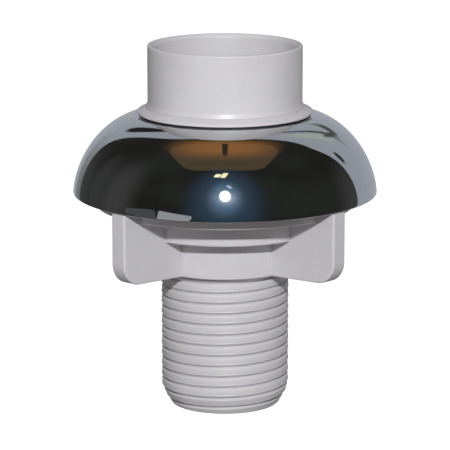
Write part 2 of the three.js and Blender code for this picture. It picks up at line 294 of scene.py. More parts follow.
def tail_points(tail):
    """Points and faces of the tail's skin, a strip wound round the axis from the end face to the hull flange.

    With o the height of a row in its turn, n the turn, and s from 0 to 1 the share of a turn from the front, the
    height is groove height + pitch (n + s) + o. The radius is that of the taper less the groove's depth x the section
    at o, eased to the root radius below the hull flange. A row at s = 1 goes on as the row of the next turn.
    """
    top = tail.flange_height
    offset, drop = THREAD_ROWS.T
    offset = offset * tail.pitch
    first = int(np.floor(-tail.groove_height / tail.pitch)) - 2
    last = int(np.ceil((top - tail.groove_height) / tail.pitch)) + 2
    turn = np.repeat(np.arange(first, last), len(offset))
    columns = tail.columns
    share = np.arange(columns) / columns
    height = tail.groove_height + tail.pitch * (turn[:, None] + share) + np.tile(offset, last - first)[:, None]
    height = np.clip(height, 0, top)
    in_turn = np.mod((height - tail.groove_height) / tail.pitch - share, 1.0)
    section = np.interp(in_turn, np.append(THREAD_ROWS[:, 0], 1.0), np.append(drop, 1.0))
    radius = taper(tail, height) - groove_depth(tail, height) * section
    neck = smooth_step(height, top - 5.5 * MM, top - 3.0 * MM)
    radius = radius * (1 - neck) + (tail.thread_radius - tail.depth) * neck
    angle = TURN * share - TURN / 4
    points = np.stack([radius * np.cos(angle), radius * np.sin(angle), height], -1)

    rows = len(turn) - len(offset) - 1
    row, column = np.arange(rows)[:, None], np.arange(columns)[None]
    on = (column + 1) // columns * len(offset)
    quads = np.stack([row * columns + column, (row + on) * columns + (column + 1) % columns,
                      (row + 1 + on) * columns + (column + 1) % columns, (row + 1) * columns + column], -1)
    quads = quads.reshape(-1, 4)
    reach = height.reshape(-1)[quads]
    quads = quads[(reach.max(1) > 0) & (reach.min(1) < top)]
    in_end = np.mod(-tail.groove_height / tail.pitch - share, 1.0)
    section = np.interp(in_end, np.append(THREAD_ROWS[:, 0], 1.0), np.append(drop, 1.0))
    end = taper(tail, 0.0) - groove_depth(tail, 0.0) * section
    return points.reshape(-1, 3), quads, end, angle


def taper(tail, height):
    """Radius over the ridges: end radius + (thread radius - end radius)(1 - (1 - t)^1.5).

    t is the share of the taper's height, held between 0 and 1.
    """
    share = np.clip(height / tail.taper_height, 0, 1)
    return tail.end_radius + (tail.thread_radius - tail.end_radius) * (1 - (1 - share) ** 1.5)


def groove_depth(tail, height):
    """Depth of the thread, which runs out from full depth 1.6 mm above the end face to a third of it on the face."""
    return tail.depth * (1 / 3 + 2 / 3 * smooth_step(height, 0.0, 1.6 * MM))


def smooth_step(value, low, high):
    """0 below low, 1 above high and 3t^2 - 2t^3 between."""
    share = np.clip((value - low) / (high - low), 0, 1)
    return share * share * (3 - 2 * share)


def body_section(tail, cup_bore):
    """Corners of the body: end face, bore, cup, hull flange, and on to the neck of the tail."""
    cup_floor = tail.flange_height + 4.0 * MM
    cup_top = BODY_HIGH.z
    seat = cup_top - 0.8 * MM
    neck = tail.thread_radius - tail.depth
    return [
        (tail.end_radius - 0.7 * MM, 0.0, 0.1 * MM),
        (tail.bore_radius + 0.4 * MM, 0.0, 0.1 * MM),
        (tail.bore_radius, 0.6 * MM, 0.2 * MM),
        (tail.bore_radius, cup_floor, 0.3 * MM),
        (cup_bore, cup_floor, 0.4 * MM),
        (cup_bore, seat, 0.15 * MM),
        (cup_bore + 1.6 * MM, seat, 0.15 * MM),
        (cup_bore + 1.6 * MM, cup_top, 0.15 * MM),
        (27.0 * MM, cup_top, 0.3 * MM),
        (27.0 * MM, cup_floor, 1.2 * MM),
        (tail.flange_radius, cup_floor, 1.0 * MM),
        (tail.flange_radius, tail.flange_height, 0.4 * MM),
        (neck + 1.5 * MM, tail.flange_height, 0.1 * MM),
    ]


def build_tail(scene):
    """The threaded strip, closed by a turned wall that starts and ends on the strip's two edges."""
    tail = scene.fitting_tail
    skin, quads, end, angle = tail_points(tail)
    wall = rounded_outline(body_section(tail, CUP_BORE))
    neck = tail.thread_radius - tail.depth
    radius = np.vstack([end, np.repeat(wall[:, :1], tail.columns, 1), np.full(tail.columns, neck)])
    height = np.concatenate([[0.0], wall[:, 1], [tail.flange_height]])[:, None] + np.zeros(tail.columns)
    ring = np.stack([radius * np.cos(angle), radius * np.sin(angle), height], -1)
    closing = wrapped_quads(*ring.shape[:2])[:(len(ring) - 1) * tail.columns]
    # the strip runs up and the wall runs round from the end face, so one of the two is turned over
    points = np.concatenate([skin, ring.reshape(-1, 3)])
    faces = np.concatenate([quads, closing[:, ::-1] + len(skin)])
    finish = moulded_finish("moulded_white", scene.fitting_finish.white)
    piece = surface_piece("threaded_tail", points, faces, finish, "white_plastic", "fitting_body", "threaded_body")
    seam_marks(piece.data, SEAM_DIRECTION)
    return piece


def seam_marks(mesh, direction):
    """Stores the mould's closing line as "seam": exp(-(d / seam width)^2), d the distance along the skin from it."""
    place = np.empty(len(mesh.vertices) * 3)
    mesh.vertices.foreach_get("co", place)
    place = place.reshape(-1, 3)
    turn = np.mod(np.arctan2(place[:, 1], place[:, 0]) - direction + np.pi / 2, np.pi) - np.pi / 2
    share = np.exp(-((turn * np.hypot(place[:, 0], place[:, 1]) / SEAM_WIDTH) ** 2))
    mesh.attributes.new("seam", "FLOAT", "POINT").data.foreach_set("value", share.astype(np.float32))


# ---- collar and dome ----


def build_collar(scene):
    """Slip socket with its retaining flange, and the spigot below it with a groove for the O-ring."""
    collar = scene.fitting_collar
    bore = scene.fitting_tail.bore_radius
    top = COLLAR_HIGH.z
    stop = top - collar.socket_depth
    spigot = collar.spigot_radius
    groove_low, groove_high = RING_LOW.z - 0.3 * MM, RING_HIGH.z + 0.3 * MM
    groove = spigot - 2.2 * MM
    outline = rounded_outline([
        (bore, COLLAR_LOW.z, 0.2 * MM),
        (spigot - 0.3 * MM, COLLAR_LOW.z, 0.15 * MM),
        (spigot, COLLAR_LOW.z + 0.6 * MM, 0.3 * MM),
        (spigot, groove_low, 0.15 * MM),
        (groove, groove_low, 0.2 * MM),
        (groove, groove_high, 0.2 * MM),
        (spigot, groove_high, 0.15 * MM),
        (spigot, collar.flange_height, 0.1 * MM),
        (collar.flange_radius, collar.flange_height, 0.14 * MM),
        (collar.flange_radius, collar.flange_height + 0.72 * MM, 0.22 * MM),
        (collar.socket_radius + 0.5 * MM, collar.flange_height + 1.85 * MM, 0.5 * MM),
        (collar.socket_radius, collar.flange_height + 3.3 * MM, 2.0 * MM),
        (collar.socket_radius, top, 0.42 * MM),
        (collar.socket_bore + 0.7 * MM, top, 0.3 * MM),
        (collar.socket_bore, top - 1.0 * MM, 0.8 * MM),
        (collar.socket_bore, stop, 0.5 * MM),
        (bore, stop, 0.4 * MM),
    ])
    finish = moulded_finish("moulded_white", scene.fitting_finish.white)
    return turned_piece("slip_collar", outline, collar.columns, finish, "white_plastic", "fitting_body",
                        "socket_collar")


def dome_line(dome, inset, steps):
    """Points of the dome's line from its rim up to its hole, as rows of (radius, height).

    With a from 0 to the hole's angle, radius = shoulder + reach cos(a)^(2 / power out) and height = rim height +
    rise sin(a)^(2 / power up). inset takes the wall off both reach and rise.
    """
    reach = dome.rim_radius - dome.shoulder - inset
    rise = dome.rise - inset
    last = np.arccos(((dome.hole_radius - dome.shoulder) / reach) ** (dome.power_out / 2))
    angle = last * np.linspace(0, 1, steps) ** 1.15
    return np.stack([dome.shoulder + reach * np.cos(angle) ** (2 / dome.power_out),
                     DOME_LOW.z + rise * np.sin(angle) ** (2 / dome.power_up)], -1)


def build_dome(scene):
    """Thin spun shell: its outer line, its inner line, and the rolled edges at the rim and at the hole."""
    dome = scene.fitting_dome
    outside, inside = dome_line(dome, 0.0, 110), dome_line(dome, dome.wall, 44)
    edge = rounded_corners([(*outside[0], 0.4 * MM), (*outside[12], 0), (*outside[-1], 0.3 * MM),
                            (*inside[-1], 0.3 * MM), (*inside[8], 0), (*inside[0], 0.35 * MM)])
    outline = np.vstack([edge[0], outside[6:-4], edge[2], edge[3], inside[-4:3:-1], edge[5]])
    finish = chrome_finish("polished_chrome", scene.fitting_finish.chrome)
    return turned_piece("chrome_dome", outline, dome.columns, finish, "polished_chrome", "escutcheon",
                        "dome_escutcheon")


# ---- wing nut ----


def nut_levels(nut):
    """Heights of the nut's outlines and the radius of the turned part at each.

    The turned part is hub, step ring and clamping flange. Its ledges fall a little outwards, so that height grows all
    the way along the line and each height has one radius.
    """
    low, high = NUT_LOW.z, NUT_HIGH.z
    path = [
        (nut.bore_radius, low - 0.1 * MM, 0), (nut.hub_radius, low, 0.5 * MM),
        (nut.hub_radius, 53.1 * MM, 0.35 * MM), (nut.ring_radius, 53.5 * MM, 0.6 * MM),
        (nut.ring_radius, 60.25 * MM, 0.35 * MM), (nut.flange_radius, 60.65 * MM, 0.5 * MM),
        (nut.flange_radius, high, 0.3 * MM), (nut.bore_radius, high + 0.1 * MM, 0),
    ]
    line = rounded_corners(path)[1:-1].reshape(-1, 2)
    line = line[(line[:, 1] > low) & (line[:, 1] < high)]
    corner = low + nut.wing_rise + nut.wing_corner * (1 - np.cos(np.linspace(0, np.pi / 2, 15)))
    extra = np.concatenate([low + nut.wing_rise * np.array([0.1, 0.3, 0.5, 0.7, 0.85]), corner,
                            np.linspace(corner[-1], high, 12)[1:-1]])
    height = np.unique(np.round(np.concatenate([[low], line[:, 1], extra, [high]]), 7))
    height = height[np.concatenate([[True], np.diff(height) > 0.012 * MM])]
    order = np.argsort(line[:, 1])
    return height, np.interp(height, line[order, 1], line[order, 0])


def wing_inset(nut, along, height):
    """How far a point of a wing's face lies inside the wing's outline, seen from the side.

    The outline is the tip at wing radius, a corner arc, and a lower edge that rises evenly from the hub to the corner.
    """
    centre_x = nut.wing_radius - nut.wing_corner
    centre_z = NUT_LOW.z + nut.wing_rise + nut.wing_corner
    lower = NUT_LOW.z + nut.wing_rise * (along - nut.hub_radius) / (centre_x - nut.hub_radius)
    beside = np.minimum(nut.wing_radius - along, height - lower)
    corner = nut.wing_corner - np.hypot(along - centre_x, height - centre_z)
    return np.where((along > centre_x) & (height < centre_z), corner, beside)


def wing_outlines(nut, height, hub):
    """Half of one wing and its share of the hub at each height, as an array of (height, point, 2).

    x runs along the wing. Going round from the middle of the tip: along the flat of the tip, round the edge, along the
    face, through the fillet, and along the hub to 45 degrees. The rounded edge is where the inset is edge radius x
    (1 - cos a), and there the face lies edge radius x (1 - sin a) inside its plane. Each of those places is found by
    halving a span 40 times.
    """
    half, edge, fillet = nut.wing_thickness / 2, nut.wing_edge, 0.7 * MM
    level, hub = height[:, None], hub[:, None]
    start = np.sqrt((hub + fillet) ** 2 - (half + fillet) ** 2)
    tightest = start + 0.05 * MM
    most = np.clip(wing_inset(nut, tightest, level) / edge, 0, 1)
    angle = np.arccos(1 - most) * np.linspace(0, 1, 9)[None]
    wanted = edge * (1 - np.cos(angle))
    near, far = tightest + 0 * angle, nut.wing_radius + 0 * angle
    for _ in range(40):
        middle = (near + far) / 2
        inside = wing_inset(nut, middle, level) > wanted
        near, far = np.where(inside, middle, near), np.where(inside, far, middle)
    side = half - edge * (1 - np.sin(angle))
    tip = np.linspace(0, 1, 5)[None, :-1]
    flat = np.stack([near[:, :1] + 0 * tip, side[:, :1] * tip], -1)
    rounded = np.stack([near, side], -1)
    face_share = np.array([0.03, 0.1, 0.25, 0.4, 0.55, 0.7, 0.85, 0.95, 0.985])[None]
    face_x = near[:, -1:] + (start - near[:, -1:]) * face_share
    depth = np.clip(wing_inset(nut, face_x, level) / edge, 0, 1)
    face = np.stack([face_x, half - edge * (1 - np.sqrt(1 - (1 - depth) ** 2))], -1)
    join_depth = np.clip(wing_inset(nut, start, level) / edge, 0, 1)
    join = half - edge * (1 - np.sqrt(1 - (1 - join_depth) ** 2))
    start = np.sqrt((hub + fillet) ** 2 - (join + fillet) ** 2)
    open_angle = np.arctan2(join + fillet, start)
    bend = -np.pi / 2 - (np.pi / 2 - open_angle) * np.linspace(0, 1, 7)[None]
    cove = np.stack([start + fillet * np.cos(bend), join + fillet + fillet * np.sin(bend)], -1)
    round_angle = open_angle + (np.pi / 4 - open_angle) * np.linspace(0, 1, 23)[None, 1:]
    barrel = np.stack([hub * np.cos(round_angle), hub * np.sin(round_angle)], -1)
    return np.concatenate([flat, rounded, face, cove, barrel], axis=1)


def build_nut(scene):
    """Wing nut: outlines of four wings and a stepped hub from bottom to top, then the recess, bore and mouth."""
    nut = scene.fitting_nut
    height, hub = nut_levels(nut)
    half = wing_outlines(nut, height, hub)
    mirrored = half[:, :0:-1] * np.array([1, -1])
    wing = np.concatenate([mirrored[:, 1:], half], axis=1)
    turn = nut.wing_turn + TURN / 4 * np.arange(4)[None, :, None]
    x, y = wing[:, None, :, 0], wing[:, None, :, 1]
    outer = np.stack([x * np.cos(turn) - y * np.sin(turn), x * np.sin(turn) + y * np.cos(turn)], -1)
    outer = outer.reshape(len(height), -1, 2)
    outer = np.concatenate([outer, np.repeat(height[:, None, None], outer.shape[1], 1)], -1)

    low, high = NUT_LOW.z, NUT_HIGH.z
    recess, floor = RECESS_RADIUS, high - RECESS_DEPTH
    inner = rounded_corners([
        (recess + 6 * MM, high, 0), (recess, high, 0.25 * MM), (recess, floor, 0.3 * MM),
        (nut.bore_radius + 0.3 * MM, floor, 0.2 * MM), (nut.bore_radius, floor - 0.4 * MM, 0.3 * MM),
        (nut.bore_radius, low + 0.7 * MM, 0.3 * MM), (nut.bore_radius + 0.6 * MM, low, 0.12 * MM),
        (nut.bore_radius + 3 * MM, low, 0),
    ])[1:-1].reshape(-1, 2)
    top_turn = np.arctan2(outer[-1, :, 1], outer[-1, :, 0])
    radius, level = inner.T
    rings = np.stack([radius[:, None] * np.cos(top_turn), radius[:, None] * np.sin(top_turn),
                      np.repeat(level[:, None], len(top_turn), 1)], -1)
    grid = np.concatenate([outer, rings])
    finish = moulded_finish("moulded_white", scene.fitting_finish.white)
    return surface_piece("winged_nut", grid.reshape(-1, 3), wrapped_quads(*grid.shape[:2]), finish, "white_plastic",
                         "nut", "wing_nut")


# ---- seals and washer ----


def ring_corners(inner, outer, low, high, rounding):
    """Corners of a ring of rectangular section."""
    return [(inner, low, rounding), (outer, low, rounding), (outer, high, rounding), (inner, high, rounding)]


def build_seals(scene):
    """O-ring, collar seal and ribbed hull gasket, with the slip washer of the nut."""
    rubber = rubber_finish("seal_rubber", scene.fitting_finish.rubber)
    nylon = nylon_finish("slip_nylon", scene.fitting_finish.nylon)
    middle = (RING_HIGH.z + RING_LOW.z) / 2
    half = (RING_HIGH.z - RING_LOW.z) / 2
    around = TURN * np.arange(20) / 20
    section = np.stack([RING_HIGH.x - half + half * np.cos(around), middle + half * np.sin(around)], -1)
    turned_piece("o_ring", section, SEAL_COLUMNS, rubber, "seal_rubber", "fitting_body", "spigot_o_ring")
    section = rounded_outline(ring_corners(CUP_BORE, SEAL_HIGH.x, SEAL_LOW.z, SEAL_HIGH.z, 0.3 * MM))
    turned_piece("neck_seal", section, SEAL_COLUMNS, rubber, "seal_rubber", "fitting_body", "collar_seal")

    # three grooves under the gasket leave four ribs that bite on the hull
    low, high, wide = GASKET_LOW.z, GASKET_HIGH.z, GASKET_HIGH.x
    rib = np.array([(-0.9, 0.0), (-0.5, 0.5), (0.5, 0.5), (0.9, 0.0)]) * MM
    grooves = np.concatenate([rib + (centre * MM, low) for centre in (24.0, 28.5, 33.0)])
    corners = [(SEAL_BORE, low, 0.25 * MM), *((radius, level, 0.15 * MM) for radius, level in grooves),
               (wide, low, 0.3 * MM), (wide, high, 0.3 * MM), (SEAL_BORE, high, 0.25 * MM)]
    turned_piece("hull_seal", rounded_outline(corners), SEAL_COLUMNS, rubber, "seal_rubber", "fitting_body",
                 "hull_gasket")

    section = rounded_outline(ring_corners(SEAL_BORE, WASHER_HIGH.x, WASHER_LOW.z, WASHER_HIGH.z, 0.25 * MM))
    turned_piece("nylon_washer", section, SEAL_COLUMNS, nylon, "washer_plastic", "washer", "slip_washer")


# ---- finishes ----


def add_node(tree, kind, settings=None, **inputs):
    """Adds a node. settings are its properties; each input is a value or the socket it takes its value from."""
    node = tree.nodes.new("ShaderNode" + kind)
    for name, value in (settings or {}).items():
        setattr(node, name, value)
    for name, value in inputs.items():
        socket = node.inputs[int(name[1:])] if name[0] == "_" else node.inputs[name.replace("_", " ")]
        if isinstance(value, bpy.types.NodeSocket):
            tree.links.new(value, socket)
        else:
            socket.default_value = value
    return node


def maths(tree, operation, *values):
    """One sum on numbers or sockets."""
    return add_node(tree, "Math", {"operation": operation}, **{f"_{i}": v for i, v in enumerate(values)}).outputs[0]


def noise(tree, where, scale, detail=2.0, roughness=0.5):
    """A cloudy value from 0 to 1."""
    return add_node(tree, "TexNoise", Vector=where, Scale=scale, Detail=detail, Roughness=roughness).outputs[0]


def span(tree, value, low, high, to_low=0.0, to_high=1.0):
    """Takes a value from one span to another, held at both ends."""
    return add_node(tree, "MapRange", {"interpolation_type": "SMOOTHSTEP"}, _0=value, _1=low, _2=high, _3=to_low,
                    _4=to_high).outputs[0]


def blend(tree, share, first, second):
    """Mixes two colours."""
    return add_node(tree, "Mix", {"data_type": "RGBA"}, _0=share, _6=first, _7=second).outputs[2]


def new_finish(name):
    """An empty material with its tree, its surface shader and the Object coordinates."""
    material = bpy.data.materials.new(name)
    material.use_nodes = True
    tree = material.node_tree
    shader = tree.nodes["Principled BSDF"]
    where = tree.nodes.new("ShaderNodeTexCoord").outputs["Object"]
    return material, tree, shader, where


def tone(base, factor, tint=(1.0, 1.0, 1.0)):
    """A colour scaled and tinted, with alpha."""
    return (*(min(1.0, channel * factor * shade) for channel, shade in zip(base, tint)), 1.0)


def mark(tree, name):
    """A value stored on the mesh."""
    return add_node(tree, "Attribute", {"attribute_name": name}).outputs["Fac"]


def specks(tree, where, scale, size, keep):
    """Small round spots, one in some cells only: 1 inside a spot."""
    cells = add_node(tree, "TexVoronoi", {"feature": "F1"}, Vector=where, Scale=scale)
    draw = add_node(tree, "SeparateColor", Color=cells.outputs["Color"]).outputs[0]
    chosen = maths(tree, "GREATER_THAN", draw, keep)
    return maths(tree, "MULTIPLY", span(tree, cells.outputs["Distance"], size, size * 0.5), chosen)


def moulded_finish(name, base):
    """Semi-gloss moulded plastic: faint cloudy tone, painted shade in the hollows, rubbed edges, specks and a fine
    grain.
    """
    if name in bpy.data.materials:
        return bpy.data.materials[name]
    material, tree, shader, where = new_finish(name)
    wear, hollow_shade, seam = mark(tree, "wear"), mark(tree, "hollow_shade"), mark(tree, "seam")
    cloud = span(tree, noise(tree, where, 55.0, 3.0, 0.6), 0.35, 0.65)
    patch = span(tree, noise(tree, where, 160.0, 4.0, 0.65), 0.5, 0.78)
    tint = blend(tree, cloud, tone(base, 0.975, (1.0, 0.995, 1.0)), tone(base, 1.02, (1.0, 1.0, 0.995)))
    tint = blend(tree, maths(tree, "MULTIPLY", patch, 0.35), tint, tone(base, 0.93, (1.0, 0.985, 0.97)))
    # painted shade: where the surface bends inwards the colour is made darker and warmer, standing in for shade in the
    # hollows
    tint = blend(tree, maths(tree, "MULTIPLY", hollow_shade, 0.30), tint, tone(base, 0.55, (1.0, 0.97, 0.93)))
    tint = blend(tree, maths(tree, "MULTIPLY", wear, 0.35), tint, tone(base, 1.08))
    tint = blend(tree, maths(tree, "MULTIPLY", seam, 0.22), tint, tone(base, 0.97, (1.02, 0.98, 0.97)))
    tint = blend(tree, maths(tree, "MULTIPLY", specks(tree, where, 140.0, 0.09, 0.92), 0.45), tint, tone(base, 0.35))
    tree.links.new(tint, shader.inputs["Base Color"])
    gloss = maths(tree, "MULTIPLY_ADD", noise(tree, where, 90.0, 4.0, 0.6), 0.14, 0.33)
    gloss = maths(tree, "MULTIPLY_ADD", wear, 0.05, gloss)
    tree.links.new(gloss, shader.inputs["Roughness"])
    grain = maths(tree, "MULTIPLY_ADD", noise(tree, where, 1400.0, 2.0), 0.35, noise(tree, where, 260.0, 3.0))
    grain = maths(tree, "MULTIPLY_ADD", seam, 1.6, grain)
    bump = add_node(tree, "Bump", Height=grain, Strength=0.35, Distance=0.00006)
    tree.links.new(bump.outputs[0], shader.inputs["Normal"])
    shader.inputs["IOR"].default_value = 1.53
    shader.inputs["Subsurface Weight"].default_value = 0.06
    shader.inputs["Subsurface Scale"].default_value = 0.0015
    return material


def chrome_finish(name, base):
    """Mirror chrome: a faint haze from handling, fine wiping marks and a few dust specks."""
    material, tree, shader, where = new_finish(name)
    smudge = span(tree, noise(tree, where, 42.0, 5.0, 0.62), 0.5, 0.75)
    wiped = add_node(tree, "Mapping", Vector=where, Rotation=(0.4, 0.9, 0.3), Scale=(1.0, 14.0, 14.0))
    streak = noise(tree, wiped.outputs[0], 90.0, 3.0, 0.7)
    dust = specks(tree, where, 260.0, 0.07, 0.90)
    wear = mark(tree, "wear")
    tint = blend(tree, maths(tree, "MULTIPLY", smudge, 0.5), tone(base, 1.0), tone(base, 0.955, (1.0, 1.0, 1.01)))
    tint = blend(tree, maths(tree, "MULTIPLY", wear, 0.2), tint, tone(base, 0.9))
    tree.links.new(tint, shader.inputs["Base Color"])
    rough = maths(tree, "MULTIPLY_ADD", smudge, 0.022, 0.012)
    rough = maths(tree, "MULTIPLY_ADD", dust, 0.25, rough)
    rough = maths(tree, "MULTIPLY_ADD", wear, 0.05, rough)
    tree.links.new(rough, shader.inputs["Roughness"])
    height = maths(tree, "MULTIPLY_ADD", streak, 0.25, noise(tree, where, 26.0, 1.0))
    height = maths(tree, "MULTIPLY_ADD", dust, 2.0, height)
    bump = add_node(tree, "Bump", Height=height, Strength=0.05, Distance=0.0001)
    tree.links.new(bump.outputs[0], shader.inputs["Normal"])
    shader.inputs["Metallic"].default_value = 1.0
    shader.inputs["Coat Weight"].default_value = 0.16
    shader.inputs["Coat Roughness"].default_value = 0.22
    return material


def rubber_finish(name, base):
    """Black moulded rubber with a dusty bloom and a fine grain."""
    material, tree, shader, where = new_finish(name)
    bloom = span(tree, noise(tree, where, 120.0, 5.0, 0.65), 0.45, 0.8)
    tint = blend(tree, bloom, tone(base, 1.0), tone(base, 2.6, (1.0, 0.98, 0.95)))
    tint = blend(tree, maths(tree, "MULTIPLY", mark(tree, "wear"), 0.4), tint, tone(base, 3.2))
    tree.links.new(tint, shader.inputs["Base Color"])
    tree.links.new(maths(tree, "MULTIPLY_ADD", bloom, 0.2, 0.6), shader.inputs["Roughness"])
    bump = add_node(tree, "Bump", Height=noise(tree, where, 1600.0, 3.0), Strength=0.5, Distance=0.00008)
    tree.links.new(bump.outputs[0], shader.inputs["Normal"])
    return material


def nylon_finish(name, base):
    """Satin nylon with turning marks in rings round the axis."""
    material, tree, shader, where = new_finish(name)
    marks = add_node(tree, "TexWave", {"wave_type": "RINGS", "rings_direction": "Z"}, Vector=where, Scale=420.0,
                     Distortion=0.4, Detail=2.0)
    cloud = noise(tree, where, 80.0, 4.0)
    tree.links.new(blend(tree, cloud, tone(base, 0.93), tone(base, 1.04)), shader.inputs["Base Color"])
    tree.links.new(maths(tree, "MULTIPLY_ADD", cloud, 0.15, 0.4), shader.inputs["Roughness"])
    bump = add_node(tree, "Bump", Height=marks.outputs["Fac"], Strength=0.3, Distance=0.00005)
    tree.links.new(bump.outputs[0], shader.inputs["Normal"])
    shader.inputs["IOR"].default_value = 1.53
    return material


# ---- stage ----

# Panels that stand round the fitting and show only in its gloss. Each lies on one of five planes a metre from the
# fitting: back (+Y), front (-Y), over it (+Z), left (-X) or right (+X). The rows give plane, middle across and up, half
# width and half height, turn in degrees, power (2 for round, 8 or more for square), softness, colour and strength.
PANELS = (
    ("left", 0.05, 0.10, 0.26, 0.70, 4, 2, 0.80, (0.98, 1.00, 0.95), 0.069),
    ("left", 0.52, 0.00, 0.20, 0.60, 4, 2, 0.70, (0.98, 1.00, 0.97), 0.058),
    ("left", 1.05, -0.10, 0.30, 0.50, 4, 2, 0.60, (0.96, 1.00, 1.00), 0.062),
    ("right", 0.45, -0.10, 0.25, 0.50, 0, 2, 0.80, (1.00, 1.00, 0.97), 0.062),
    ("back", 0.57, -3.00, 1.30, 5.00, 0, 12, 0.02, (0.83, 0.87, 0.97), 0.517),
    ("back", -0.62, -0.60, 0.16, 0.80, 0, 4, 0.50, (0.90, 0.97, 0.97), 0.235),
    ("back", 0.66, 1.02, 0.13, 0.36, 14, 4, 0.40, (0.88, 0.93, 0.82), 0.580),
    ("back", 0.44, 0.80, 0.05, 0.40, 34, 2, 0.60, (0.60, 0.66, 0.62), 0.124),
    ("back", 0.40, 0.46, 0.17, 0.05, 4, 2, 0.60, (0.60, 0.66, 0.62), 0.124),
    ("back", 0.58, 0.60, 0.05, 0.18, -30, 2, 0.60, (0.60, 0.66, 0.62), 0.138),
    ("back", -0.36, 0.75, 0.135, 0.20, -20, 2, 0.20, (0.60, 0.66, 0.66), 0.028),
    ("back", 1.44, 0.84, 0.12, 0.16, 20, 3, 0.30, (0.60, 0.66, 0.66), 0.041),
    ("over", -0.01, -0.15, 0.51, 0.42, 0, 3.6, 0.03, (1.00, 0.72, 0.42), 0.108),
    ("over", -0.01, 0.12, 0.34, 0.26, 0, 2.5, 0.75, (1.00, 0.44, 0.14), 0.380),
    ("over", 0.00, 0.05, 0.022, 0.20, 0, 12, 0.20, (0.70, 0.55, 0.42), 0.062),
    ("front", 0.00, -1.40, 0.64, 2.86, 0, 6, 0.06, (0.74, 0.90, 1.00), 0.028),
    ("front", 0.00, 0.55, 0.40, 0.90, 0, 2, 0.95, (0.34, 0.62, 1.00), 0.145),
    ("front", 0.00, 0.56, 0.18, 0.34, 0, 2, 0.80, (0.38, 0.66, 1.00), 0.414),
    ("front", 0.00, 0.58, 0.070, 0.130, 0, 2, 0.30, (0.84, 0.92, 1.00), 5.520),
    ("front", -3.40, -0.30, 2.08, 0.50, 0, 12, 0.02, (0.92, 0.98, 1.00), 0.103),
    ("front", -0.91, -0.40, 0.385, 0.52, -9, 20, 0.02, (0.95, 0.98, 1.00), 0.455),
    ("front", -0.140, 1.36, 0.055, 0.09, -14, 8, 0.15, (1.00, 0.90, 0.55), 1.794),
    ("front", -0.012, 1.38, 0.050, 0.15, -14, 8, 0.15, (1.00, 0.88, 0.50), 1.656),
    ("front", 0.066, 0.85, 0.030, 0.06, 30, 3, 0.40, (0.80, 0.88, 1.00), 0.828),
)


def panel_group():
    """A node group: how far a direction lies inside a panel, 1 inside and 0 outside.

    The panel's middle and turn are taken off the place. With x and y the rest over the half width and half height, the
    share is (|x|^power + |y|^power)^(1/power) eased from 1 + softness to 1 - softness.
    """
    tree = bpy.data.node_groups.new("panel", "ShaderNodeTree")
    for name in ("Across", "Up", "Side", "Middle Across", "Middle Up", "Half Width", "Half Height", "Cosine", "Sine",
                 "Power", "Softness"):
        tree.interface.new_socket(name, in_out="INPUT", socket_type="NodeSocketFloat")
    tree.interface.new_socket("Share", in_out="OUTPUT", socket_type="NodeSocketFloat")
    given = tree.nodes.new("NodeGroupInput").outputs
    result = tree.nodes.new("NodeGroupOutput")
    across = maths(tree, "SUBTRACT", given["Across"], given["Middle Across"])
    up = maths(tree, "SUBTRACT", given["Up"], given["Middle Up"])
    turned = (maths(tree, "ADD", maths(tree, "MULTIPLY", across, given["Cosine"]),
                    maths(tree, "MULTIPLY", up, given["Sine"])),
              maths(tree, "SUBTRACT", maths(tree, "MULTIPLY", up, given["Cosine"]),
                    maths(tree, "MULTIPLY", across, given["Sine"])))
    powers = [maths(tree, "POWER", maths(tree, "ABSOLUTE", maths(tree, "DIVIDE", value, given[half])), given["Power"])
              for value, half in zip(turned, ("Half Width", "Half Height"))]
    reach = maths(tree, "POWER", maths(tree, "ADD", *powers), maths(tree, "DIVIDE", 1.0, given["Power"]))
    share = span(tree, reach, maths(tree, "SUBTRACT", 1.0, given["Softness"]),
                 maths(tree, "ADD", 1.0, given["Softness"]), 1.0, 0.0)
    tree.links.new(maths(tree, "MULTIPLY", share, given["Side"]), result.inputs[0])
    return tree


def glossy_surroundings(tree):
    """Colour of the dark studio and its panels in a direction: the direction is carried on to each panel's plane."""
    direction = tree.nodes.new("ShaderNodeTexCoord").outputs["Generated"]
    x, y, z = add_node(tree, "SeparateXYZ", Vector=direction).outputs
    front, left = maths(tree, "MULTIPLY", y, -1.0), maths(tree, "MULTIPLY", x, -1.0)
    planes = {}
    for name, across, up, away in (("back", x, z, y), ("front", x, z, front), ("over", x, y, z), ("left", y, z, left),
                                   ("right", y, z, x)):
        distance = maths(tree, "MAXIMUM", away, LEAST_AWAY)
        planes[name] = (maths(tree, "DIVIDE", across, distance), maths(tree, "DIVIDE", up, distance),
                        maths(tree, "GREATER_THAN", away, LEAST_AWAY))
    total = blend(tree, span(tree, noise(tree, direction, 1.6, 2.0), 0.35, 0.65), (0.020, 0.021, 0.018, 1),
                  (0.029, 0.031, 0.027, 1))
    group = panel_group()
    for plane, middle_x, middle_y, half_x, half_y, degrees, power, softness, tint, strength in PANELS:
        node = tree.nodes.new("ShaderNodeGroup")
        node.node_tree = group
        turn = np.radians(degrees)
        for name, value in zip(node.inputs.keys(), (*planes[plane], middle_x, middle_y, half_x, half_y,
                                                    float(np.cos(turn)), float(np.sin(turn)), power, softness)):
            if isinstance(value, bpy.types.NodeSocket):
                tree.links.new(value, node.inputs[name])
            else:
                node.inputs[name].default_value = value
        total = blend(tree, node.outputs[0], total, (*(channel * strength for channel in tint), 1.0))
    return blend(tree, span(tree, z, -0.35, -0.8), total, (0.12, 0.12, 0.125, 1))


